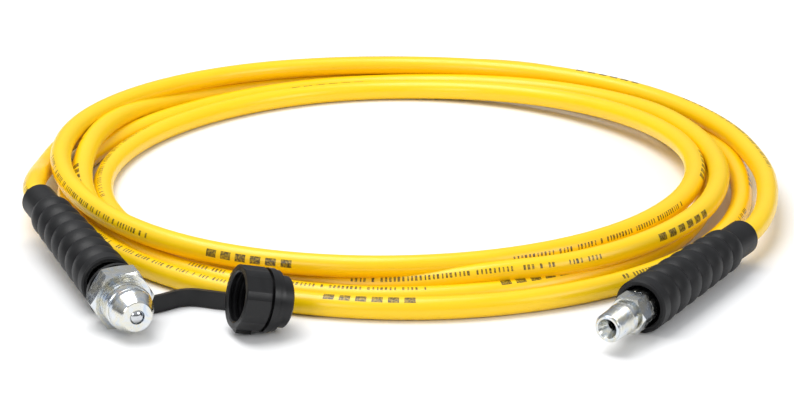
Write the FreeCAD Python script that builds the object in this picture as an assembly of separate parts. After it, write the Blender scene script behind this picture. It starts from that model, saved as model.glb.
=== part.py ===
"""High-pressure hydraulic hose assembly, coiled flat for storage.

One 6.4 mm bore thermoplastic hose of about 6 m lies in a flat coil.  Each end has a crimped
steel ferrule, a barbed stem and a ribbed rubber bend restrictor.  One stem screws into the
hose half of a screw-together quick coupler with a ball valve and a strapped dust cap.  The
other stem ends in a 3/8 NPTF male nose.  Millimetres, +Z up, the hose lies on z = 0.
"""
import FreeCAD, Part
import os
from math import acos, atan2, cos, degrees, pi, radians, sin, sqrt, tan

V = FreeCAD.Vector
os.makedirs("parts", exist_ok=True)

# ---- driving dimensions -------------------------------------------------------------------

# hose
HOSE_R = 6.5
BORE_R = 3.2
CORE_WALL = 1.0
BRAID_WALL = 1.2

# the coil: a lower layer of four turns and a smaller upper layer, both flat rings
COIL_X = 8.0
COIL_Y = 183.3
COIL_INNER_R = 178.0
COIL_LOWER_R = 225.0
COIL_UPPER_R = 220.0
COIL_UPPER_SHIFT = 9.0
COIL_LOWER_H = 13.0
COIL_H = 27.0
COIL_FILLET = 5.0
COIL_GAP = 0.6

# boots (bend restrictors)
BOOT_LENGTH = 130.0
BOOT_CUFF_R = 10.4
BOOT_CUFF_LENGTH = 22.0
BOOT_RIBS = 7
BOOT_RIB_REAR_R = 13.0
BOOT_RIB_FRONT_R = 15.2
BOOT_RIB_DEPTH = 1.7
BOOT_COLLAR_LENGTH = 9.0
BOOT_MOUTH_WALL = 3.2
BOOT_MOUTH_DEPTH = 14.0

# crimp ferrules and stems
FERRULE_R = 10.0
FERRULE_LENGTH = 38.0
FERRULE_OUT = 4.0
FERRULE_SCALLOPS = 8
STEM_BORE_R = 2.2
STEM_COLLAR_R = 4.6
STEM_BARBS = 5
NPT_LARGE_R = 8.55
NPT_TAPER = 1.0 / 32.0
NPT_PITCH = 1.411
NPT_LENGTH = 15.0
THREAD_DEPTH = 0.9

# thread end
FITTING_HEX_AF = 20.0
FITTING_HEX_LENGTH = 12.0
FITTING_GROOVE_R = 7.2
FITTING_GROOVE_LENGTH = 3.0
FITTING_LAND_R = 8.9
FITTING_LAND_LENGTH = 4.0
FITTING_CONE_R = 5.6
FITTING_CONE_DEG = 30.0

# coupler
STEM_HEX_AF = 20.0
STEM_HEX_LENGTH = 6.0
HUB_R = 12.0
HUB_LENGTH = 4.5
COUPLER_HEX_AF = 32.0
COUPLER_HEX_LENGTH = 12.0
BARREL_R = 13.2
BARREL_LENGTH = 11.0
BARREL_GROOVES = 3
BARREL_GROOVE_WIDTH = 1.5
BARREL_GROOVE_DEPTH = 1.2
NOSE_LENGTH = 12.0
NOSE_REAR_R = 12.4
NOSE_FACE_R = 8.4
NOSE_SHANK_R = 9.2
NOSE_SHANK_LENGTH = 9.0
NOSE_BORE_R = 6.2
BODY_FLOW_R = 6.0
BALL_R = 5.0
BALL_SEAT_R = 4.2
BALL_SEAT_LAND = 1.2
BALL_TRAVEL = 2.5
BALL_GAP = 0.05
SPRING_WIRE_R = 0.5
SPRING_R = 3.6
SPRING_TURNS = 5
GUIDE_LENGTH = 2.5
SNAP_RING_WIRE = 1.0
ORING_R = 0.8

# strap and dust cap
STRAP_THICK = 2.4
STRAP_WIDTH = 10.0
STRAP_RING_WALL = 3.8
STRAP_GAP = 0.6
STRAP_AXIAL_GAP = 0.4
STRAP_TAB = 8.0
STRAP_TAB_LOW = 14.5
CAP_GAP = 0.4
CAP_THREAD_DEPTH = 0.9
CAP_THREAD_PITCH = 3.6
CAP_THREADS = 3
CAP_WALL = 2.7
CAP_CUP_LENGTH = 14.5
CAP_FLANGE_R = 17.8
CAP_FLANGE_LENGTH = 3.6
CAP_NECK_R = 12.6
CAP_TAIL_R = 14.4
CAP_TAIL_LENGTH = 6.0
CAP_LUG = 2.2
CAP_LUG_WIDTH = 9.0

# where the ends lie: each axis starts at the middle of the boot's mouth and points at the nose
COUPLER_MOUTH = V(-154.3, -27.4, 17.5)
COUPLER_YAW = -66.0
COUPLER_DIP = 3.0
FITTING_MOUTH = V(139.0, -59.2, 15.6)
FITTING_YAW = -122.0
FITTING_DIP = 0.0

# middle of the dust cap's mouth, and the way from the mouth to the cap's closed end
CAP_MOUTH = V(-81.0, -61.2, 22.4)
CAP_YAW = 20.0
CAP_DIP = 14.0

# the strap's route between its two rings, seen from above: its middle points are chosen by hand
STRAP_MIDDLE = [V(-112.0, -17.0, 0), V(-94.0, -23.5, 0)]
STRAP_Z = 0.5

# the hose's route outside the coil: from behind each boot to the coil
COUPLER_TAIL = [V(-216.5, 169.3, 15.5), V(-208.0, 227.3, 6.8)]
FITTING_TAIL = [V(234.0, 131.3, 16.5), V(232.5, 191.3, 17.8)]
TAIL_STRAIGHT = BOOT_LENGTH + 20.0

# ---- sizes that follow --------------------------------------------------------------------

CORE_R = BORE_R + CORE_WALL
BRAID_R = CORE_R + BRAID_WALL
FERRULE_REAR = FERRULE_OUT - FERRULE_LENGTH
STEM_LIP = -1.0
HEX_START = FERRULE_OUT

HUB_START = HEX_START + STEM_HEX_LENGTH + 0.5
COUPLER_HEX_START = HUB_START + HUB_LENGTH
BARREL_START = COUPLER_HEX_START + COUPLER_HEX_LENGTH
NOSE_START = BARREL_START + BARREL_LENGTH
FACE = NOSE_START + NOSE_LENGTH
SHANK_END = NOSE_START - NOSE_SHANK_LENGTH
SEAT_EDGE = FACE - BALL_SEAT_LAND
BALL_S = SEAT_EDGE - sqrt(BALL_R ** 2 - BALL_SEAT_R ** 2) - BALL_GAP

ORING_GROOVE_R = NOSE_SHANK_R - 2 * ORING_R
ORING_GROOVE_START = NOSE_START - 4.2
BACKUP_THICK = 1.0
ORING_S = ORING_GROOVE_START + BACKUP_THICK + ORING_R
ORING_GROOVE_END = ORING_S + ORING_R
SNAP_GROOVE_R = NOSE_BORE_R + 0.7
SNAP_START = SHANK_END + 1.2
GUIDE_START = SNAP_START + SNAP_RING_WIRE
GUIDE_END = GUIDE_START + GUIDE_LENGTH

FITTING_GROOVE_START = HEX_START + FITTING_HEX_LENGTH
FITTING_LAND_START = FITTING_GROOVE_START + FITTING_GROOVE_LENGTH
FITTING_THREAD_START = FITTING_LAND_START + FITTING_LAND_LENGTH
FITTING_FACE = FITTING_THREAD_START + NPT_LENGTH

STRAP_RING_S = HUB_START + HUB_LENGTH / 2
CAP_STEP_LENGTH = 1.5
CAP_BORE_R = BARREL_R + CAP_GAP
CAP_R = CAP_BORE_R + CAP_THREAD_DEPTH + CAP_WALL
CAP_FLANGE_START = CAP_CUP_LENGTH + CAP_STEP_LENGTH
CAP_NECK_START = CAP_FLANGE_START + CAP_FLANGE_LENGTH
CAP_NECK_LENGTH = STRAP_THICK + 2 * STRAP_AXIAL_GAP
CAP_TAIL_START = CAP_NECK_START + CAP_NECK_LENGTH
CAP_LENGTH = CAP_TAIL_START + CAP_TAIL_LENGTH


# ---- helpers ------------------------------------------------------------------------------

def direction(yaw, dip):
    """A unit vector at this heading, dipping below the horizontal."""
    return V(cos(radians(yaw)) * cos(radians(dip)), sin(radians(yaw)) * cos(radians(dip)), -sin(radians(dip)))


def place(shape, origin, yaw, dip):
    """Put a shape made along local +Z onto an axis; its local +X stays level, on the left of it."""
    along = direction(yaw, dip)
    level = V(-sin(radians(yaw)), cos(radians(yaw)), 0)
    placed = shape.copy()
    placed.Placement = FreeCAD.Placement(origin, FreeCAD.Rotation(level, along.cross(level), along, "ZXY"))
    return placed


def turned(points):
    """A solid of revolution about Z from (radius, height) points."""
    outline = Part.makePolygon([V(r, 0, s) for r, s in points + points[:1]])
    return Part.Face(outline).revolve(V(0, 0, 0), V(0, 0, 1), 360)


def ring(inner, outer, start, end):
    """A plain tube between two heights."""
    return turned([(inner, start), (outer, start), (outer, end), (inner, end)])


def prism(sides, across_flats, start, end, chamfer):
    """A hexagon or octagon bar with a flat on top, its corners turned off at both ends."""
    corner_r = across_flats / 2 / cos(pi / sides)
    turn = pi / sides + pi / 2
    corners = [V(corner_r * cos(turn + 2 * pi * i / sides), corner_r * sin(turn + 2 * pi * i / sides), start)
               for i in range(sides)]
    bar = Part.Face(Part.makePolygon(corners + corners[:1])).extrude(V(0, 0, end - start))
    top_r = across_flats / 2
    round_off = turned([(0, start), (top_r, start), (corner_r, start + chamfer), (corner_r, end - chamfer),
                        (top_r, end), (0, end)])
    return bar.common(round_off)


def tapered_thread(start, length, large_r):
    """Outline points of a tapered thread's crests and roots, from its large end to its tip."""
    points = []
    for i in range(int(length / NPT_PITCH)):
        for share, depth in ((0.15, 0), (0.35, 0), (0.65, THREAD_DEPTH), (0.85, THREAD_DEPTH)):
            along = (i + share) * NPT_PITCH
            points.append((large_r - along * NPT_TAPER - depth, start + along))
    return points


def route_edges(points, name):
    """Straight runs joined by tangent arcs, each as large as its two runs allow."""
    edges = []
    at = points[0]
    for before, corner, after in zip(points, points[1:], points[2:]):
        back = before.sub(corner)
        on = after.sub(corner)
        shorter = min(back.Length, on.Length)
        half_turn = (pi - back.getAngle(on)) / 2
        reach = 0.45 * shorter
        print(name, "radius", round(reach / tan(half_turn), 1))
        back.normalize()
        on.normalize()
        first = corner.add(back * reach)
        last = corner.add(on * reach)
        middle_way = back.add(on)
        middle_way.normalize()
        depth = reach * (1 / cos(half_turn) - 1) / tan(half_turn)
        edges.append(Part.LineSegment(at, first).toShape())
        edges.append(Part.Arc(first, corner.add(middle_way * depth), last).toShape())
        at = last
    edges.append(Part.LineSegment(at, points[-1]).toShape())
    return edges


def swept_round(points, radius, name):
    """A round bar along a route."""
    wire = Part.Wire(route_edges(points, name))
    start = points[0]
    circle = Part.Wire(Part.makeCircle(radius, start, points[1].sub(start)))
    return wire.makePipeShell([circle], True, True), wire.Length


def save(shape, name):
    """Write one node, and say what it holds."""
    solids = shape.Solids
    clean = solids[0] if len(solids) == 1 else Part.makeCompound(solids)
    clean.exportStep("parts/" + name + ".step")
    print(name, len(solids), "solids", round(clean.Volume, 1), "mm3", "valid", clean.isValid())
    return clean


# ---- ends of the hose ---------------------------------------------------------------------

def boot():
    """Ribbed rubber sleeve: plain cuff, ribs that grow towards the mouth, plain collar."""
    rib_start = BOOT_CUFF_LENGTH - BOOT_LENGTH
    pitch = (BOOT_LENGTH - BOOT_CUFF_LENGTH - BOOT_COLLAR_LENGTH) / BOOT_RIBS
    edges = []
    corners = [(HOSE_R, -BOOT_LENGTH), (BOOT_CUFF_R - 1.2, -BOOT_LENGTH), (BOOT_CUFF_R, -BOOT_LENGTH + 1.2),
               (BOOT_CUFF_R, rib_start)]
    valley = BOOT_CUFF_R
    for i in range(BOOT_RIBS):
        share = i / (BOOT_RIBS - 1)
        peak = BOOT_RIB_REAR_R + share * (BOOT_RIB_FRONT_R - BOOT_RIB_REAR_R)
        foot = rib_start + i * pitch
        next_valley = peak - BOOT_RIB_DEPTH
        edges.append(Part.Arc(V(valley, 0, foot), V(peak, 0, foot + 0.55 * pitch),
                              V(next_valley, 0, foot + pitch)).toShape())
        valley = next_valley
    front = BOOT_RIB_FRONT_R
    mouth = front - BOOT_MOUTH_WALL
    rest = [(valley, -BOOT_COLLAR_LENGTH), (front, -BOOT_COLLAR_LENGTH + 1.5), (front, -1.0), (front - 1.0, 0),
            (mouth + 0.6, 0), (mouth, -0.6), (mouth, -BOOT_MOUTH_DEPTH), (FERRULE_R, -BOOT_MOUTH_DEPTH - 2.0),
            (FERRULE_R, FERRULE_REAR), (HOSE_R, FERRULE_REAR - 4.0), (HOSE_R, -BOOT_LENGTH)]
    for run in (corners, rest):
        for (r0, s0), (r1, s1) in zip(run, run[1:]):
            edges.append(Part.LineSegment(V(r0, 0, s0), V(r1, 0, s1)).toShape())
    outline = Part.Wire(Part.__sortEdges__(edges))
    return Part.Face(outline).revolve(V(0, 0, 0), V(0, 0, 1), 360)


def ferrule():
    """Crimped steel sleeve: the crimping dies leave flutes along it and a scalloped front edge."""
    sleeve = turned([(BRAID_R, FERRULE_REAR), (FERRULE_R - 0.8, FERRULE_REAR), (FERRULE_R, FERRULE_REAR + 0.8),
                     (FERRULE_R, FERRULE_OUT - 0.6), (FERRULE_R - 0.6, FERRULE_OUT), (STEM_COLLAR_R, FERRULE_OUT),
                     (STEM_COLLAR_R, STEM_LIP), (BRAID_R, STEM_LIP)])
    flute_r = 1.5
    for i in range(FERRULE_SCALLOPS):
        turn = 2 * pi * i / FERRULE_SCALLOPS
        middle = FERRULE_R + flute_r - 0.8
        flute = Part.makeCylinder(flute_r, FERRULE_LENGTH - 3.0,
                                  V(middle * cos(turn), middle * sin(turn), FERRULE_REAR + 3.0))
        sleeve = sleeve.cut(flute)
    return sleeve


def barb_points():
    """Outline of the barbed shank that grips the hose's core, from its tip to the collar."""
    length = -FERRULE_REAR - 3.0 + STEM_LIP
    pitch = length / STEM_BARBS
    points = [(STEM_BORE_R, STEM_LIP - length), (BORE_R - 0.35, STEM_LIP - length)]
    for i in range(STEM_BARBS):
        s = STEM_LIP - length + i * pitch
        points.append((BORE_R, s + 0.7 * pitch))
        points.append((BORE_R, s + 0.85 * pitch))
        points.append((BORE_R - 0.35, s + 0.85 * pitch) if i < STEM_BARBS - 1 else (BORE_R, STEM_LIP))
    return points


def stem(hex_af, hex_length, front_points):
    """Barbed stem: shank, collar under the ferrule's lip, hexagon, then its own front."""
    hex_end = HEX_START + hex_length
    core = turned(barb_points() + [(STEM_COLLAR_R, STEM_LIP), (STEM_COLLAR_R, hex_end)] + front_points)
    return core.fuse(prism(6, hex_af, HEX_START, hex_end, 1.2).cut(ring(0, STEM_COLLAR_R - 1.0, HEX_START, hex_end)))


def coupler_stem():
    """Stem with a tapered male thread that screws into the coupler's body."""
    start = HEX_START + STEM_HEX_LENGTH
    tip = start + NPT_LENGTH
    tip_r = NPT_LARGE_R - NPT_LENGTH * NPT_TAPER - THREAD_DEPTH
    front = [(NPT_LARGE_R - THREAD_DEPTH, start)] + tapered_thread(start, NPT_LENGTH, NPT_LARGE_R)
    return stem(STEM_HEX_AF, STEM_HEX_LENGTH, front + [(tip_r, tip), (STEM_BORE_R, tip)])


def fitting_stem():
    """Stem with a groove, a plain land and a tapered male nose with a coned seat."""
    tip_r = NPT_LARGE_R - NPT_LENGTH * NPT_TAPER - THREAD_DEPTH
    cone_depth = (FITTING_CONE_R - STEM_BORE_R) / tan(radians(FITTING_CONE_DEG))
    front = [(FITTING_GROOVE_R, FITTING_GROOVE_START), (FITTING_GROOVE_R, FITTING_LAND_START),
             (FITTING_LAND_R - 0.5, FITTING_LAND_START), (FITTING_LAND_R, FITTING_LAND_START + 0.5),
             (FITTING_LAND_R, FITTING_THREAD_START - 0.5), (NPT_LARGE_R - THREAD_DEPTH, FITTING_THREAD_START)]
    front += tapered_thread(FITTING_THREAD_START, NPT_LENGTH, NPT_LARGE_R)
    front += [(tip_r, FITTING_FACE - 0.4), (tip_r - 0.4, FITTING_FACE), (FITTING_CONE_R, FITTING_FACE),
              (STEM_BORE_R, FITTING_FACE - cone_depth)]
    return stem(FITTING_HEX_AF, FITTING_HEX_LENGTH, front)


# ---- quick coupler ------------------------------------------------------------------------

def coupler_body():
    """Hub for the strap, big hexagon and grooved barrel, bored for the stem and the nose."""
    taper = NPT_TAPER
    thread_start = HEX_START + STEM_HEX_LENGTH
    thread_end = thread_start + NPT_LENGTH + 1.0
    mouth_r = NPT_LARGE_R - (HUB_START - thread_start) * taper
    tip_r = NPT_LARGE_R - (thread_end - thread_start) * taper
    outer = [(HUB_R - 0.5, HUB_START), (HUB_R, HUB_START + 0.5), (HUB_R, BARREL_START)]
    groove_pitch = BARREL_LENGTH / (BARREL_GROOVES + 0.5)
    for i in range(BARREL_GROOVES):
        s = BARREL_START + (i + 0.25) * groove_pitch
        outer += [(BARREL_R, s), (BARREL_R - BARREL_GROOVE_DEPTH, s + 0.3),
                  (BARREL_R - BARREL_GROOVE_DEPTH, s + BARREL_GROOVE_WIDTH - 0.3), (BARREL_R, s + BARREL_GROOVE_WIDTH)]
    outer.insert(3, (BARREL_R, BARREL_START))
    outer += [(BARREL_R, NOSE_START - 0.6), (BARREL_R - 0.6, NOSE_START)]
    inner = [(NOSE_SHANK_R, NOSE_START), (NOSE_SHANK_R, SHANK_END), (BODY_FLOW_R, SHANK_END),
             (BODY_FLOW_R, thread_end), (tip_r, thread_end), (mouth_r, HUB_START)]
    body = turned(outer + inner)
    nut = prism(6, COUPLER_HEX_AF, COUPLER_HEX_START, BARREL_START, 1.6)
    return body.fuse(nut.cut(ring(0, HUB_R - 0.5, COUPLER_HEX_START, BARREL_START)))


def coupler_nose():
    """Screwed-in nose: shank with seal groove, pilot land, cone, flat face and ball seat."""
    pilot = NOSE_LENGTH / 3
    return turned([(NOSE_BORE_R, SHANK_END), (NOSE_SHANK_R, SHANK_END), (NOSE_SHANK_R, ORING_GROOVE_START),
                   (ORING_GROOVE_R, ORING_GROOVE_START), (ORING_GROOVE_R, ORING_GROOVE_END),
                   (NOSE_SHANK_R, ORING_GROOVE_END), (NOSE_SHANK_R, NOSE_START), (NOSE_REAR_R, NOSE_START),
                   (NOSE_REAR_R, NOSE_START + pilot), (NOSE_FACE_R + 0.5, FACE - 0.5), (NOSE_FACE_R, FACE),
                   (BALL_SEAT_R, FACE), (BALL_SEAT_R, SEAT_EDGE), (NOSE_BORE_R, SEAT_EDGE),
                   (NOSE_BORE_R, SNAP_START + SNAP_RING_WIRE), (SNAP_GROOVE_R, SNAP_START + SNAP_RING_WIRE),
                   (SNAP_GROOVE_R, SNAP_START), (NOSE_BORE_R, SNAP_START)])


def valve_ball():
    """Steel ball that closes the nose."""
    return Part.makeSphere(BALL_R, V(0, 0, BALL_S))


def spring_guide():
    """Disc behind the spring, with a centring boss and four oil holes."""
    boss_r = SPRING_R - SPRING_WIRE_R - 0.4
    disc = turned([(0, GUIDE_START), (NOSE_BORE_R - 0.05, GUIDE_START), (NOSE_BORE_R - 0.05, GUIDE_END),
                   (boss_r, GUIDE_END), (boss_r - 0.4, GUIDE_END + 2.0), (0, GUIDE_END + 2.0)])
    for i in range(4):
        turn = pi / 4 + i * pi / 2
        disc = disc.cut(Part.makeCylinder(0.9, GUIDE_LENGTH, V(4.9 * cos(turn), 4.9 * sin(turn), GUIDE_START)))
    return disc


def valve_spring():
    """Open coil spring between the guide and the ball."""
    start = GUIDE_END + SPRING_WIRE_R + 0.05
    end = BALL_S - sqrt(BALL_R ** 2 - SPRING_R ** 2) - SPRING_WIRE_R - 0.3
    helix = Part.makeHelix((end - start) / SPRING_TURNS, end - start, SPRING_R)
    helix.translate(V(0, 0, start))
    section = Part.Wire(Part.makeCircle(SPRING_WIRE_R, V(SPRING_R, 0, start), V(0, 1, 0)))
    return Part.Wire(helix.Edges).makePipeShell([section], True, True)


def snap_ring():
    """Open wire ring that holds the guide in the nose's groove."""
    whole = ring(NOSE_BORE_R - 1.0, SNAP_GROOVE_R, SNAP_START, SNAP_START + SNAP_RING_WIRE)
    return whole.cut(Part.makeBox(10, 3, 3, V(0, -1.5, SNAP_START - 1)))


# ---- strap and cap ------------------------------------------------------------------------

COUPLER_AXIS = direction(COUPLER_YAW, COUPLER_DIP)
COUPLER_LEFT = direction(COUPLER_YAW + 90.0, 0)
CAP_AXIS = direction(CAP_YAW, CAP_DIP)
CAP_LEFT = direction(CAP_YAW + 90.0, 0)
CAP_UP = CAP_AXIS.cross(CAP_LEFT)
STRAP_RING_1 = COUPLER_MOUTH.add(COUPLER_AXIS * STRAP_RING_S)
CAP_RING_S = CAP_NECK_START + CAP_NECK_LENGTH / 2
STRAP_RING_2 = CAP_MOUTH.add(CAP_AXIS * CAP_RING_S)


def strap():
    """Flat moulded strap: a ring round the coupler's hub, a band on edge, a tab and ring on the cap."""
    half = STRAP_THICK / 2
    first = place(ring(HUB_R + STRAP_GAP, HUB_R + STRAP_GAP + STRAP_RING_WALL, -half, half),
                  STRAP_RING_1, COUPLER_YAW, COUPLER_DIP)
    neck_room = CAP_NECK_R + STRAP_GAP
    flange_room = CAP_FLANGE_R + STRAP_GAP
    tab = Part.makeBox(flange_room + 2.0 - neck_room, STRAP_TAB, STRAP_THICK, V(neck_room, -STRAP_TAB_LOW, -half))
    second = place(ring(neck_room, neck_room + STRAP_RING_WALL, -half, half).fuse(tab),
                   STRAP_RING_2, CAP_YAW, CAP_DIP)
    tab_middle = CAP_UP * (STRAP_TAB / 2 - STRAP_TAB_LOW)
    end = STRAP_RING_2.add(CAP_LEFT * flange_room).add(tab_middle)
    points = [STRAP_RING_1.add(COUPLER_LEFT * (HUB_R - 0.5)), STRAP_RING_1.add(COUPLER_LEFT * (2 * HUB_R + 1.0))]
    points += STRAP_MIDDLE + [end.add(CAP_LEFT * CAP_R / 2), end]
    points = [V(point.x, point.y, STRAP_Z) for point in points]
    wire = Part.Wire(route_edges(points, "strap"))
    side = V(-COUPLER_LEFT.y, COUPLER_LEFT.x, 0) * half
    up = V(0, 0, STRAP_WIDTH)
    low_left = points[0].add(side)
    low_right = points[0].sub(side)
    section = Part.makePolygon([low_left, low_right, low_right.add(up), low_left.add(up), low_left])
    band = wire.makePipeShell([section], True, True)
    return first.fuse([band, second])


def dust_cap():
    """Moulded cap: octagonal cup with inside thread rings and a lug, flange, neck, tail."""
    cup_r = CAP_R - 0.4
    step_r = CAP_R - 2.0
    pilot_r = NOSE_REAR_R + CAP_GAP
    shoulder = CAP_CUP_LENGTH - 1.0
    end = FACE - BARREL_START + CAP_GAP
    inside = [(0, end), (NOSE_FACE_R + CAP_GAP, end), (pilot_r, CAP_FLANGE_START), (pilot_r, shoulder),
              (CAP_BORE_R, shoulder)]
    for i in range(CAP_THREADS):
        s = shoulder - 2.0 - i * CAP_THREAD_PITCH
        inside += [(CAP_BORE_R, s), (CAP_BORE_R + CAP_THREAD_DEPTH, s - 0.5),
                   (CAP_BORE_R + CAP_THREAD_DEPTH, s - 1.7), (CAP_BORE_R, s - 2.2)]
    inside += [(CAP_BORE_R, 0.8), (CAP_BORE_R + 0.8, 0)]
    outside = [(cup_r, 0), (cup_r, CAP_CUP_LENGTH), (step_r, CAP_CUP_LENGTH), (step_r, CAP_FLANGE_START),
               (CAP_FLANGE_R, CAP_FLANGE_START), (CAP_FLANGE_R, CAP_NECK_START), (CAP_NECK_R, CAP_NECK_START),
               (CAP_NECK_R, CAP_TAIL_START), (CAP_TAIL_R, CAP_TAIL_START), (CAP_TAIL_R, CAP_LENGTH - 0.8),
               (CAP_TAIL_R - 0.8, CAP_LENGTH), (0, CAP_LENGTH)]
    shell = turned(inside + outside)
    facets = prism(8, 2 * CAP_R, 0, CAP_CUP_LENGTH, 0.8).cut(ring(0, cup_r - 0.5, 0, CAP_CUP_LENGTH))
    facets = facets.common(ring(0, CAP_R + 0.6, 0, CAP_CUP_LENGTH))
    lug_depth = CAP_LUG + CAP_R - cup_r + 1.0
    lug = Part.makeBox(CAP_LUG_WIDTH, lug_depth, CAP_LUG_WIDTH, V(-CAP_LUG_WIDTH / 2, -CAP_R - CAP_LUG, 2.5))
    return shell.fuse([facets, lug])


# ---- coil and tails -----------------------------------------------------------------------

def hose_coil():
    """The space that the coiled turns fill: a lower ring and a smaller upper ring."""
    lower = Part.makeCylinder(COIL_LOWER_R, COIL_LOWER_H)
    upper = Part.makeCylinder(COIL_UPPER_R, COIL_H, V(COIL_UPPER_SHIFT, COIL_UPPER_SHIFT, 0))
    both = lower.fuse(upper).cut(Part.makeCylinder(COIL_INNER_R, COIL_H))
    both.translate(V(COIL_X, COIL_Y, 0))
    for mouth, yaw, dip in ((COUPLER_MOUTH, COUPLER_YAW, COUPLER_DIP), (FITTING_MOUTH, FITTING_YAW, FITTING_DIP)):
        room = turned([(0, -BOOT_LENGTH - 1), (BOOT_CUFF_R + COIL_GAP, -BOOT_LENGTH - 1),
                       (BOOT_CUFF_R + COIL_GAP, BOOT_CUFF_LENGTH - BOOT_LENGTH),
                       (BOOT_RIB_REAR_R + COIL_GAP, BOOT_CUFF_LENGTH - BOOT_LENGTH + 2.0),
                       (BOOT_RIB_FRONT_R + COIL_GAP, -BOOT_COLLAR_LENGTH), (BOOT_RIB_FRONT_R + COIL_GAP, 0), (0, 0)])
        both = both.cut(place(room, mouth, yaw, dip))
    return both


def hose_tail(mouth, yaw, dip, tail, name):
    """The stretch from the ferrule through the boot and out to the coil."""
    along = direction(yaw, dip)
    points = [mouth.add(along * FERRULE_REAR), mouth.add(along * -TAIL_STRAIGHT)] + tail
    outside, length = swept_round(points, HOSE_R, name)
    hole, length = swept_round(points, BORE_R, name)
    tube = outside.cut(hole)
    section = pi * (HOSE_R ** 2 - BORE_R ** 2)
    print(name, "volume", round(tube.Volume, 1), "section times length", round(section * length, 1))
    return tube


def end_pieces(mouth, yaw, dip, end, tail, stem_shape):
    """Everything that both ends have, each piece in its own node."""
    lip = STEM_LIP
    save(place(boot(), mouth, yaw, dip), "boot_" + end)
    save(place(ferrule(), mouth, yaw, dip), "ferrule_" + end)
    save(place(stem_shape, mouth, yaw, dip), "stem_" + end)
    save(place(ring(BORE_R, CORE_R, FERRULE_REAR, lip), mouth, yaw, dip), "core_tube_" + end)
    save(place(ring(CORE_R, BRAID_R, FERRULE_REAR, lip), mouth, yaw, dip), "braid_" + end)
    save(hose_tail(mouth, yaw, dip, tail, "tail " + end), "hose_tail_" + end)


end_pieces(COUPLER_MOUTH, COUPLER_YAW, COUPLER_DIP, "coupler", COUPLER_TAIL, coupler_stem())
end_pieces(FITTING_MOUTH, FITTING_YAW, FITTING_DIP, "fitting", FITTING_TAIL, fitting_stem())
save(hose_coil(), "hose_coil")

COUPLER_PIECES = {
    "coupler_body": coupler_body(),
    "coupler_nose": coupler_nose(),
    "valve_ball": valve_ball(),
    "valve_spring": valve_spring(),
    "spring_guide": spring_guide(),
    "snap_ring": snap_ring(),
    "nose_o_ring": Part.makeTorus(NOSE_SHANK_R - ORING_R, ORING_R, V(0, 0, ORING_S)),
    "backup_ring": ring(ORING_GROOVE_R, NOSE_SHANK_R, ORING_GROOVE_START, ORING_GROOVE_START + BACKUP_THICK),
}
for piece, shape in COUPLER_PIECES.items():
    save(place(shape, COUPLER_MOUTH, COUPLER_YAW, COUPLER_DIP), piece)

save(strap(), "cap_strap")
save(place(dust_cap(), CAP_MOUTH, CAP_YAW, CAP_DIP), "dust_cap")
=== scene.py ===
from math import cos, pi, radians, sin

import bmesh
import bpy
from mathutils import Matrix, Vector


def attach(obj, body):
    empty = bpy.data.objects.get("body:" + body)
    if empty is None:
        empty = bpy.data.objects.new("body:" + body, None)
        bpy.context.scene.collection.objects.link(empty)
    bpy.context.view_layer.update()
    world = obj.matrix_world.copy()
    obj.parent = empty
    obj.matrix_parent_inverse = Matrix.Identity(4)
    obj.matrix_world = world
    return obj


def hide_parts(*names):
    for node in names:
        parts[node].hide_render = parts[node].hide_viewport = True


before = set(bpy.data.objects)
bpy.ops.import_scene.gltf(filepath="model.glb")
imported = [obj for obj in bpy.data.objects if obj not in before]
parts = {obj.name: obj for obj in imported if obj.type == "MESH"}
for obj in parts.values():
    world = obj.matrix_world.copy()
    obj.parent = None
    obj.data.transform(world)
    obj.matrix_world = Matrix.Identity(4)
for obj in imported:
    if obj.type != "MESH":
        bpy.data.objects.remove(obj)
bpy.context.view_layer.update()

# ---- View -------------------------------------------------------------------------------
# A long lens looks down at the coil from in front of the two end fittings.
# It stands 1.7 m away, a little under 20 degrees above the floor.

view_height = radians(19.5)
view_distance = 1.7
view_aim = Vector((0.0065, 0.1378, 0.0065))
camera_data = bpy.data.cameras.new("camera")
camera_data.sensor_width = 36
camera_data.lens = 125.6
camera_data.clip_end = 30
camera = bpy.data.objects.new("camera", camera_data)
bpy.context.scene.collection.objects.link(camera)
camera.location = view_aim + Vector((0, -cos(view_height), sin(view_height))) * view_distance
camera.rotation_euler = (pi / 2 - view_height, 0, 0)
bpy.context.scene.camera = camera

# ---- Hose -------------------------------------------------------------------------------
# Thermoplastic hose, 6.1 m of it, 13 mm across: nylon core, steel braid, extruded polyurethane jacket.
# It leaves the coupler's ferrule, goes clockwise four and a half times round in loose turns
# and enters the thread end's ferrule. Its middle line is one spline.

hose_r = 0.0065
hose_sides = 28
coil_middle = Vector((0.0080, 0.1833, 0))

# from the coupler's ferrule, through its boot, to the first turn
coupler_tail = [
    (-0.1681, 0.0036, 0.0193), (-0.1880, 0.0483, 0.0218), (-0.2055, 0.0876, 0.0241),
    (-0.2130, 0.1080, 0.0250), (-0.2140, 0.1400, 0.0220),
]
# from the last turn, through the other boot, to the thread end's ferrule
fitting_tail = [
    (0.2345, 0.1430, 0.0168), (0.2280, 0.0980, 0.0160), (0.2170, 0.0656, 0.0156),
    (0.2065, 0.0488, 0.0156), (0.1800, 0.0064, 0.0156), (0.1570, -0.0304, 0.0156),
]

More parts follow.
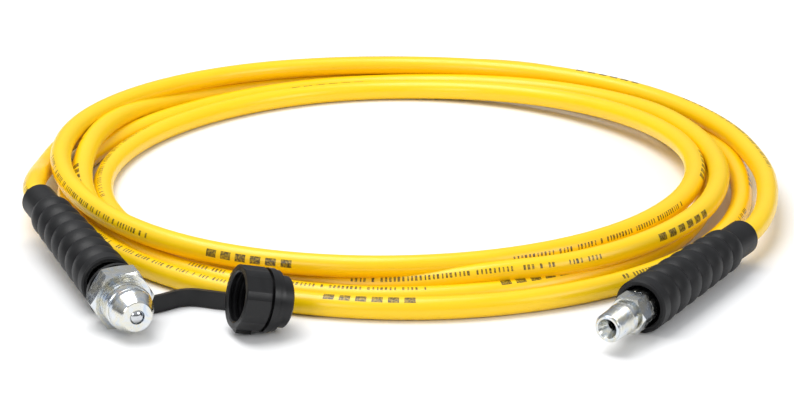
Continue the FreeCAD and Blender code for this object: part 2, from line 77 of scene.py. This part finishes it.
# millimetres from the coil's middle and above the floor, at each eighth of a turn, from the left, clockwise
turns = [
    (222, 12.0), (227, 6.5), (228.5, 6.5), (207, 6.5), (191, 6.5), (200, 6.5), (206.5, 6.5), (203, 6.5),
    (198, 16.5), (212, 8.0), (215, 6.5), (226, 6.5), (213.5, 6.5), (221, 6.5), (222, 6.5), (214, 6.5),
    (206, 6.5), (197, 6.5), (201.5, 6.5), (198.5, 14.0), (198, 18.5), (206, 18.5), (192.5, 9.0), (187.5, 6.5),
    (185.5, 6.5), (184, 6.5), (187.5, 6.5), (183.5, 13.0), (184.5, 18.2), (186.5, 19.2), (191, 19.5), (202.5, 20.0),
    (212, 25.0), (214, 21.0), (208.5, 17.5), (214.5, 18.5), (224, 16.8),
]
# where a turn climbs over another: eighths from the start, millimetres up to its middle, eighths to each side
humps = [(8.4, 19.5, 0.9), (10.45, 16.0, 0.9), (21.5, 17.0, 0.8), (19.5, 18.5, 0.8)]
points_per_eighth = 3


def between(a, b, c, d, share):
    """A smooth value from b to c, with a and d on either side of them."""
    return 0.5 * (2 * b + (c - a) * share + (2 * a - 5 * b + 4 * c - d) * share ** 2
                  + (3 * b - a - 3 * c + d) * share ** 3)


def turn_point(eighths):
    """The place of the hose's middle line, this many eighths of a turn along the coil."""
    last = len(turns) - 1
    at = min(int(eighths), last - 1)
    near = [turns[min(max(at + step, 0), last)] for step in (-1, 0, 1, 2)]
    reach = between(*[n[0] for n in near], eighths - at) / 1000
    height = max(between(*[n[1] for n in near], eighths - at) / 1000, hose_r)
    for middle, top, side in humps:
        if abs(eighths - middle) < side:
            lift = cos(pi / 2 * (eighths - middle) / side) ** 2
            height = max(height, hose_r + (top / 1000 - hose_r) * lift)
    # the spline runs inside its points, so they stand a little outside the turn
    reach /= 0.75 + 0.25 * cos(radians(45 / points_per_eighth))
    turned = radians(180 - 45 * eighths)
    return coil_middle + Vector((reach * cos(turned), reach * sin(turned), height))


route = [Vector(point) for point in coupler_tail]
route += [turn_point(i / points_per_eighth) for i in range(points_per_eighth * (len(turns) - 1) + 1)]
route += [Vector(point) for point in fitting_tail]

line_curve = bpy.data.curves.new("hose_line", "CURVE")
line_curve.dimensions = "3D"
line_curve.resolution_u = 5
spline = line_curve.splines.new("NURBS")
spline.points.add(len(route) - 1)
for point, place in zip(spline.points, route):
    point.co = (*place, 1)
spline.order_u = 3
spline.use_endpoint_u = True
line_object = bpy.data.objects.new("hose_line", line_curve)
line_mesh = bpy.data.meshes.new_from_object(line_object)
hose_line = [v.co.copy() for v in line_mesh.vertices]
bpy.data.objects.remove(line_object)


def smooth_object(shape, name):
    """Turn a bmesh into a linked object with smooth faces."""
    for face in shape.faces:
        face.smooth = True
    mesh = bpy.data.meshes.new(name)
    shape.to_mesh(mesh)
    shape.free()
    made = bpy.data.objects.new(name, mesh)
    bpy.context.scene.collection.objects.link(made)
    return made


def hose_tube(line, radius, sides, name):
    """Draw a ring along the line; its UV map is (share of the way round, metres along)."""
    shape = bmesh.new()
    around = shape.verts.layers.float.new("around")
    along = shape.verts.layers.float.new("along")
    way = (line[1] - line[0]).normalized()
    start = Matrix.Translation(line[0]) @ way.to_track_quat("Z", "Y").to_matrix().to_4x4()
    ring = bmesh.ops.create_circle(shape, radius=radius, segments=sides, matrix=start)["verts"]
    for i, v in enumerate(ring):
        v[around] = i / sides
    edges = list(shape.edges)
    bmesh.ops.edgeloop_fill(shape, edges=edges)
    travelled = 0
    for i in range(1, len(line)):
        step = line[i] - line[i - 1]
        travelled += step.length
        after = (line[min(i + 1, len(line) - 1)] - line[i - 1]).normalized()
        made = bmesh.ops.extrude_edge_only(shape, edges=edges)["geom"]
        ring = [g for g in made if isinstance(g, bmesh.types.BMVert)]
        inside = set(ring)
        edges = [g for g in made if isinstance(g, bmesh.types.BMEdge) and set(g.verts) <= inside]
        bmesh.ops.rotate(shape, verts=ring, cent=line[i - 1], matrix=way.rotation_difference(after).to_matrix())
        bmesh.ops.translate(shape, verts=ring, vec=step)
        for v in ring:
            v[along] = travelled
        way = after
    bmesh.ops.edgeloop_fill(shape, edges=edges)
    bmesh.ops.recalc_face_normals(shape, faces=shape.faces)
    uv = shape.loops.layers.uv.new("jacket")
    for face in shape.faces:
        high = max(loop.vert[around] for loop in face.loops)
        for loop in face.loops:
            share = loop.vert[around]
            loop[uv].uv = (share + 1 if high - share > 0.5 else share, loop.vert[along])
    return smooth_object(shape, name)


hose = hose_tube(hose_line, hose_r, hose_sides, "hose")


def colour(hex_code):
    """An sRGB hex colour as the linear RGBA that shaders take."""
    shares = [int(hex_code[i:i + 2], 16) / 255 for i in (1, 3, 5)]
    return [s / 12.92 if s <= 0.04045 else ((s + 0.055) / 1.055) ** 2.4 for s in shares] + [1]


def add(tree, kind, settings=None, inputs=None):
    """Add a shader node; an input is a number, a colour or another node's output."""
    made = tree.nodes.new("ShaderNode" + kind)
    for name, value in (settings or {}).items():
        setattr(made, name, value)
    for name, value in (inputs or {}).items():
        if isinstance(value, bpy.types.NodeSocket):
            tree.links.new(value, made.inputs[name])
        else:
            made.inputs[name].default_value = value
    return made


def surface(name, settings):
    """A new material, its node tree and its shader, with the shader's own numbers set."""
    material = bpy.data.materials.new(name)
    material.use_nodes = True
    tree = material.node_tree
    shader = tree.nodes["Principled BSDF"]
    for socket, value in settings.items():
        shader.inputs[socket].default_value = value
    return material, tree, shader


def wear(material, *objects):
    """Give each object this one material."""
    for thing in objects:
        thing.data.materials.clear()
        thing.data.materials.append(material)


# Extruded polyurethane: even, waxy yellow with a soft shine, faint die lines along the hose,
# scuffs that dull it, and a printed line of plain dark dashes and ticks.
jacket, tree, shader = surface("extruded_polyurethane", {
    "IOR": 1.5, "Coat Weight": 0.1, "Coat Roughness": 0.25,
})
place = add(tree, "TexCoord")
split = add(tree, "SeparateXYZ", None, {0: place.outputs["UV"]})
round_share, metres = split.outputs[0], split.outputs[1]


def sum_of(first, kind, second=0.0):
    """The output of one Math node in the tree that is being made."""
    return add(tree, "Math", {"operation": kind}, {0: first, 1: second}).outputs[0]


# the print wanders round the hose, as the hose twists when it is coiled
sway = sum_of(sum_of(sum_of(metres, "MULTIPLY", 4.1), "SINE"), "MULTIPLY", 0.09)
off_line = sum_of(sum_of(sum_of(sum_of(round_share, "ADD", sway), "ADD", 0.62), "FRACT"), "SUBTRACT", 0.5)
off_line = sum_of(off_line, "ABSOLUTE")
# ticks 2.4 mm apart and 3 mm high, in runs with gaps, a fifth of them left out by chance
tick = sum_of(metres, "DIVIDE", 0.0024)
tick_luck = add(tree, "TexWhiteNoise", {"noise_dimensions": "1D"}, {"W": sum_of(tick, "FLOOR")}).outputs["Value"]
tick_width = sum_of(sum_of(tick_luck, "MULTIPLY", 0.4), "ADD", 0.25)
tick_here = sum_of(sum_of(tick, "FRACT"), "LESS_THAN", tick_width)
tick_here = sum_of(tick_here, "MULTIPLY", sum_of(tick_luck, "GREATER_THAN", 0.2))
# where along one repeat of the print a point is
repeat = sum_of(sum_of(metres, "DIVIDE", 0.36), "FRACT")
in_run = sum_of(sum_of(repeat, "GREATER_THAN", 0.26), "MULTIPLY", sum_of(repeat, "LESS_THAN", 0.66))
ticks = sum_of(sum_of(tick_here, "MULTIPLY", in_run), "MULTIPLY", sum_of(off_line, "LESS_THAN", 0.037))
# bold dashes 9 mm apart, 6 mm long and 4.6 mm high, six in a row at the start of each repeat
dash = sum_of(sum_of(sum_of(metres, "DIVIDE", 0.009), "FRACT"), "LESS_THAN", 0.68)
dash = sum_of(sum_of(sum_of(repeat, "LESS_THAN", 0.15), "MULTIPLY", sum_of(off_line, "LESS_THAN", 0.056)),
              "MULTIPLY", dash)
print_here = sum_of(ticks, "MAXIMUM", dash)
# the ink is rubbed thin in places
rub = add(tree, "TexNoise", None, {"Vector": place.outputs["Object"], "Scale": 900.0, "Detail": 3.0})
print_here = sum_of(print_here, "MULTIPLY", sum_of(sum_of(rub.outputs["Fac"], "MULTIPLY", 1.6), "SUBTRACT", 0.02))
print_here = add(tree, "Math", {"operation": "MINIMUM", "use_clamp": True}, {0: print_here, 1: 0.93}).outputs[0]

shade = add(tree, "TexNoise", None, {"Vector": place.outputs["Object"], "Scale": 26.0, "Detail": 2.0})
yellow = add(tree, "Mix", {"data_type": "RGBA"}, {
    0: shade.outputs["Fac"], 6: colour("#FFD400"), 7: colour("#FBCC00")})
inked = add(tree, "Mix", {"data_type": "RGBA"}, {0: print_here, 6: yellow.outputs[2], 7: colour("#1E1912")})
tree.links.new(inked.outputs[2], shader.inputs["Base Color"])
scuff = add(tree, "TexNoise", None, {"Vector": place.outputs["Object"], "Scale": 60.0, "Detail": 6.0})
dull = add(tree, "MapRange", None, {"Value": scuff.outputs["Fac"], "From Min": 0.35, "From Max": 0.75,
                                    "To Min": 0.28, "To Max": 0.42})
tree.links.new(dull.outputs["Result"], shader.inputs["Roughness"])
# die lines: a ripple 1.6 mm wide round the hose that hardly changes along it
streak_at = add(tree, "CombineXYZ", None, {
    0: sum_of(round_share, "MULTIPLY", 26.0), 1: sum_of(metres, "MULTIPLY", 3.0)})
streak = add(tree, "TexNoise", None, {"Vector": streak_at.outputs[0], "Scale": 1.0, "Detail": 3.0})
ripple = add(tree, "Bump", None, {"Height": streak.outputs["Fac"], "Strength": 0.10, "Distance": 0.0004})
tree.links.new(ripple.outputs["Normal"], shader.inputs["Normal"])
wear(jacket, hose)

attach(hose, "hose")
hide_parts("hose_coil", "hose_tail_coupler", "hose_tail_fitting")

# ---- Hose ends inside the ferrules --------------------------------------------------------
# Where the jacket is skived off, the nylon core is pushed over the barbed stem
# and the steel braid lies between it and the ferrule.

# Extruded nylon 11: waxy, off-white, faintly cloudy.
core_nylon, tree, shader = surface("extruded_nylon", {"Roughness": 0.4, "IOR": 1.52})
cloud = add(tree, "TexNoise", None, {"Vector": add(tree, "TexCoord").outputs["Object"], "Scale": 300.0})
tint = add(tree, "Mix", {"data_type": "RGBA"}, {0: cloud.outputs["Fac"], 6: colour("#E2DCC4"), 7: colour("#D2CAB0")})
tree.links.new(tint.outputs[2], shader.inputs["Base Color"])
wear(core_nylon, parts["core_tube_coupler"], parts["core_tube_fitting"])

# Brassed high-tensile wire, braided: dull gold-grey with a fine crossing pattern 0.5 mm wide.
braid_wire, tree, shader = surface("braided_brassed_wire", {"Metallic": 1.0, "Roughness": 0.42})
cross = add(tree, "TexVoronoi", None, {"Vector": add(tree, "TexCoord").outputs["Object"], "Scale": 2000.0})
tint = add(tree, "Mix", {"data_type": "RGBA"}, {
    0: cross.outputs["Distance"], 6: colour("#B7A27A"), 7: colour("#8C7D60")})
tree.links.new(tint.outputs[2], shader.inputs["Base Color"])
weave = add(tree, "Bump", None, {"Height": cross.outputs["Distance"], "Strength": 0.5, "Distance": 0.0002})
tree.links.new(weave.outputs["Normal"], shader.inputs["Normal"])
wear(braid_wire, parts["braid_coupler"], parts["braid_fitting"])

# ---- Ferrules, stems and coupler body -----------------------------------------------------
# Free-cutting steel turned on a lathe, the ferrules then crimped in eight places, all
# zinc plated bright. The stem's taper thread screws into the coupler's body.


def zinc_plate(name, middle, yaw, dip):
    """Turned steel with a bright zinc plate; the lathe marks go round the part's own axis."""
    material, tree, shader = surface(name, {"Metallic": 1.0, "Roughness": 0.2})
    turn = Vector((cos(yaw) * cos(dip), sin(yaw) * cos(dip), -sin(dip))).to_track_quat("Z", "Y").to_euler()
    local = add(tree, "Mapping", {"vector_type": "TEXTURE"}, {
        "Vector": add(tree, "TexCoord").outputs["Object"], "Location": middle, "Rotation": turn})
    split = add(tree, "SeparateXYZ", None, {0: local.outputs[0]})
    x2 = add(tree, "Math", {"operation": "MULTIPLY"}, {0: split.outputs[0], 1: split.outputs[0]})
    r2 = add(tree, "Math", {"operation": "MULTIPLY_ADD"}, {0: split.outputs[1], 1: split.outputs[1], 2: x2.outputs[0]})
    radius = add(tree, "Math", {"operation": "SQRT"}, {0: r2.outputs[0]})
    lathe = add(tree, "Math", {"operation": "MULTIPLY_ADD"}, {0: radius.outputs[0], 1: 1.3, 2: split.outputs[2]})
    # tool marks 0.25 mm apart, drawn coarser than the real 0.1 mm so that they show; the radius is added
    # so that a face square to the axis has them too
    marks = add(tree, "TexNoise", {"noise_dimensions": "1D"}, {"W": lathe.outputs[0], "Scale": 4000.0, "Detail": 2.0})
    groove = add(tree, "Bump", None, {"Height": marks.outputs["Fac"], "Strength": 0.16, "Distance": 0.0001})
    tree.links.new(groove.outputs["Normal"], shader.inputs["Normal"])
    # the clear passivation film: patches a few millimetres across, faint blue, straw and rose
    film = add(tree, "TexNoise", None, {"Vector": local.outputs[0], "Scale": 130.0, "Detail": 2.0, "Distortion": 0.6})
    hues = add(tree, "ValToRGB", None, {"Fac": film.outputs["Fac"]})
    ramp = hues.color_ramp
    ramp.elements[0].position = 0.28
    ramp.elements[0].color = colour("#C3CEDC")
    ramp.elements[1].position = 0.74
    ramp.elements[1].color = colour("#D6CFC8")
    for position, hue in ((0.42, "#D9DCDE"), (0.56, "#DCD9CB"), (0.66, "#CDD5DE")):
        ramp.elements.new(position).color = colour(hue)
    tree.links.new(hues.outputs["Color"], shader.inputs["Base Color"])
    haze = add(tree, "TexNoise", None, {"Vector": local.outputs[0], "Scale": 420.0, "Detail": 5.0})
    dull = add(tree, "MapRange", None, {"Value": haze.outputs["Fac"], "From Min": 0.3, "From Max": 0.7,
                                        "To Min": 0.14, "To Max": 0.30})
    tree.links.new(dull.outputs["Result"], shader.inputs["Roughness"])
    return material


coupler_mouth = Vector((-0.1543, -0.0274, 0.0175))
coupler_yaw, coupler_dip = radians(-66), radians(3)
fitting_mouth = Vector((0.1390, -0.0592, 0.0156))
fitting_yaw, fitting_dip = radians(-122), 0
zinc_coupler = zinc_plate("bright_zinc_on_turned_steel", coupler_mouth, coupler_yaw, coupler_dip)
zinc_fitting = zinc_plate("bright_zinc_on_turned_stem", fitting_mouth, fitting_yaw, fitting_dip)
wear(zinc_coupler, parts["ferrule_coupler"], parts["stem_coupler"], parts["coupler_body"], parts["coupler_nose"])
wear(zinc_fitting, parts["ferrule_fitting"], parts["stem_fitting"])

# ---- Valve in the coupler's nose ----------------------------------------------------------
# A hardened ball closes the nose, pushed by a small spring that stands on a drilled guide,
# which a snap ring holds. An O-ring and its backup ring seal the nose in the body.

# Hardened and polished chrome steel: a small mirror with very fine scratches.
ball_steel, tree, shader = surface("polished_chrome_steel", {"Metallic": 1.0, "Base Color": colour("#C9CBCE")})
fine = add(tree, "TexNoise", None, {"Vector": add(tree, "TexCoord").outputs["Object"], "Scale": 2500.0, "Detail": 4.0})
dull = add(tree, "MapRange", None, {"Value": fine.outputs["Fac"], "To Min": 0.05, "To Max": 0.14})
tree.links.new(dull.outputs["Result"], shader.inputs["Roughness"])
wear(ball_steel, parts["valve_ball"])

# Drawn spring steel: darker, with streaks from the die and an oily film.
spring_steel, tree, shader = surface("drawn_spring_steel", {"Metallic": 1.0})
oil = add(tree, "TexNoise", None, {"Vector": add(tree, "TexCoord").outputs["Object"], "Scale": 700.0, "Detail": 3.0})
tint = add(tree, "Mix", {"data_type": "RGBA"}, {0: oil.outputs["Fac"], 6: colour("#8E9094"), 7: colour("#6E6C6A")})
tree.links.new(tint.outputs[2], shader.inputs["Base Color"])
dull = add(tree, "MapRange", None, {"Value": oil.outputs["Fac"], "To Min": 0.22, "To Max": 0.4})
tree.links.new(dull.outputs["Result"], shader.inputs["Roughness"])
wear(spring_steel, parts["valve_spring"], parts["spring_guide"], parts["snap_ring"])

# Moulded nitrile, oiled: black and smooth.
seal_rubber, tree, shader = surface("oiled_nitrile", {"IOR": 1.52, "Base Color": colour("#131313")})
oil = add(tree, "TexNoise", None, {"Vector": add(tree, "TexCoord").outputs["Object"], "Scale": 900.0})
dull = add(tree, "MapRange", None, {"Value": oil.outputs["Fac"], "To Min": 0.2, "To Max": 0.45})
tree.links.new(dull.outputs["Result"], shader.inputs["Roughness"])
wear(seal_rubber, parts["nose_o_ring"])

# Skived PTFE: white, dull, a little translucent.
ptfe, tree, shader = surface("skived_ptfe", {"Roughness": 0.5, "IOR": 1.35})
cloud = add(tree, "TexNoise", None, {"Vector": add(tree, "TexCoord").outputs["Object"], "Scale": 1200.0})
tint = add(tree, "Mix", {"data_type": "RGBA"}, {0: cloud.outputs["Fac"], 6: colour("#F1F1EE"), 7: colour("#E2E2DD")})
tree.links.new(tint.outputs[2], shader.inputs["Base Color"])
wear(ptfe, parts["backup_ring"])

# ---- Bend restrictors ---------------------------------------------------------------------
# Two sleeves of black nitrile rubber, moulded with rings that grow towards the fitting,
# pushed over the ferrules so that the hose can't kink where it leaves them.

# Moulded nitrile rubber: deep black, satin, with a fine spark-eroded grain 0.4 mm across,
# a greyish bloom in patches and a little pale dust.
boot_rubber, tree, shader = surface("moulded_nitrile_rubber", {"IOR": 1.52, "Specular IOR Level": 0.3})
place = add(tree, "TexCoord")
bloom = add(tree, "TexNoise", None, {"Vector": place.outputs["Object"], "Scale": 55.0, "Detail": 5.0})
bloom_share = add(tree, "MapRange", None, {"Value": bloom.outputs["Fac"], "From Min": 0.35, "From Max": 0.7})
black = add(tree, "Mix", {"data_type": "RGBA"}, {
    0: bloom_share.outputs["Result"], 6: colour("#0C0C0D"), 7: colour("#18181A")})
dust = add(tree, "TexNoise", None, {"Vector": place.outputs["Object"], "Scale": 1500.0, "Detail": 2.0})
dust_share = add(tree, "MapRange", None, {"Value": dust.outputs["Fac"], "From Min": 0.68, "From Max": 0.78,
                                          "To Max": 0.35})
dusted = add(tree, "Mix", {"data_type": "RGBA"}, {
    0: dust_share.outputs["Result"], 6: black.outputs[2], 7: colour("#3A3936")})
tree.links.new(dusted.outputs[2], shader.inputs["Base Color"])
dull = add(tree, "MapRange", None, {"Value": bloom.outputs["Fac"], "To Min": 0.36, "To Max": 0.6})
tree.links.new(dull.outputs["Result"], shader.inputs["Roughness"])
grain = add(tree, "TexNoise", None, {"Vector": place.outputs["Object"], "Scale": 2500.0, "Detail": 2.0})
bumps = add(tree, "Bump", None, {"Height": grain.outputs["Fac"], "Strength": 0.22, "Distance": 0.0002})
tree.links.new(bumps.outputs["Normal"], shader.inputs["Normal"])
wear(boot_rubber, parts["boot_coupler"], parts["boot_fitting"])

# ---- Dust cap and strap ---------------------------------------------------------------------
# One cup and one flat strap, both injection moulded in black polyethylene. The strap's rings
# snap over the coupler's hub and over the cap's neck, so both turn freely in them.

# Moulded polyethylene: black, waxy, with faint flow marks and hairline scratches.
cap_plastic, tree, shader = surface("moulded_polyethylene", {"IOR": 1.51, "Specular IOR Level": 0.35})
place = add(tree, "TexCoord")
flow = add(tree, "TexNoise", None, {"Vector": place.outputs["Object"], "Scale": 90.0, "Detail": 4.0, "Distortion": 1.2})
black = add(tree, "Mix", {"data_type": "RGBA"}, {
    0: flow.outputs["Fac"], 6: colour("#0D0D0E"), 7: colour("#161618")})
tree.links.new(black.outputs[2], shader.inputs["Base Color"])
dull = add(tree, "MapRange", None, {"Value": flow.outputs["Fac"], "From Min": 0.3, "From Max": 0.7,
                                    "To Min": 0.28, "To Max": 0.44})
tree.links.new(dull.outputs["Result"], shader.inputs["Roughness"])
grain = add(tree, "TexNoise", None, {"Vector": place.outputs["Object"], "Scale": 1800.0, "Detail": 3.0})
bumps = add(tree, "Bump", None, {"Height": grain.outputs["Fac"], "Strength": 0.12, "Distance": 0.0002})
tree.links.new(bumps.outputs["Normal"], shader.inputs["Normal"])
wear(cap_plastic, parts["dust_cap"], parts["cap_strap"])

# ---- Floor and light ------------------------------------------------------------------------
# A plain white sweep, lit softly from above and from both sides.

floor_shape = bmesh.new()
bmesh.ops.create_grid(floor_shape, x_segments=4, y_segments=4, size=5)
floor = smooth_object(floor_shape, "floor")
white, tree, shader = surface("matt_white_board", {"Roughness": 0.9, "Specular IOR Level": 0.1})
tooth = add(tree, "TexNoise", None, {"Vector": add(tree, "TexCoord").outputs["Object"], "Scale": 40.0})
tint = add(tree, "Mix", {"data_type": "RGBA"}, {0: tooth.outputs["Fac"], 6: colour("#F7F7F7"), 7: colour("#F5F5F5")})
tree.links.new(tint.outputs[2], shader.inputs["Base Color"])
wear(white, floor)

world = bpy.data.worlds.new("studio")
bpy.context.scene.world = world
world.use_nodes = True
# the room is dark near the floor and bright overhead, which gives polished metal its bands
tree = world.node_tree
upward = add(tree, "SeparateXYZ", None, {0: add(tree, "TexCoord").outputs["Generated"]})
room = add(tree, "MapRange", None, {"Value": upward.outputs[2], "From Min": 0.05, "From Max": 0.5,
                                    "To Min": 0.12, "To Max": 0.62})
tree.links.new(room.outputs["Result"], tree.nodes["Background"].inputs["Strength"])
tree.nodes["Background"].inputs["Color"].default_value = colour("#F2F4F7")


def soft_light(name, place, aim, width, height, watts):
    """One square studio light that points at a place."""
    data = bpy.data.lights.new(name, "AREA")
    data.shape = "RECTANGLE"
    data.size = width
    data.size_y = height
    data.energy = watts
    light = bpy.data.objects.new(name, data)
    bpy.context.scene.collection.objects.link(light)
    light.location = place
    light.rotation_euler = (Vector(aim) - Vector(place)).to_track_quat("-Z", "Y").to_euler()
    return light


soft_light("key", (-0.5, 0.3, 1.8), (0, 0.15, 0), 1.4, 1.4, 29)
soft_light("fill", (1.6, -1.0, 1.1), (0, 0.1, 0), 0.9, 0.9, 10)
soft_light("front", (-0.9, -1.6, 0.8), (-0.1, 0, 0), 0.7, 0.7, 6)
bpy.context.scene.view_settings.view_transform = "Standard"
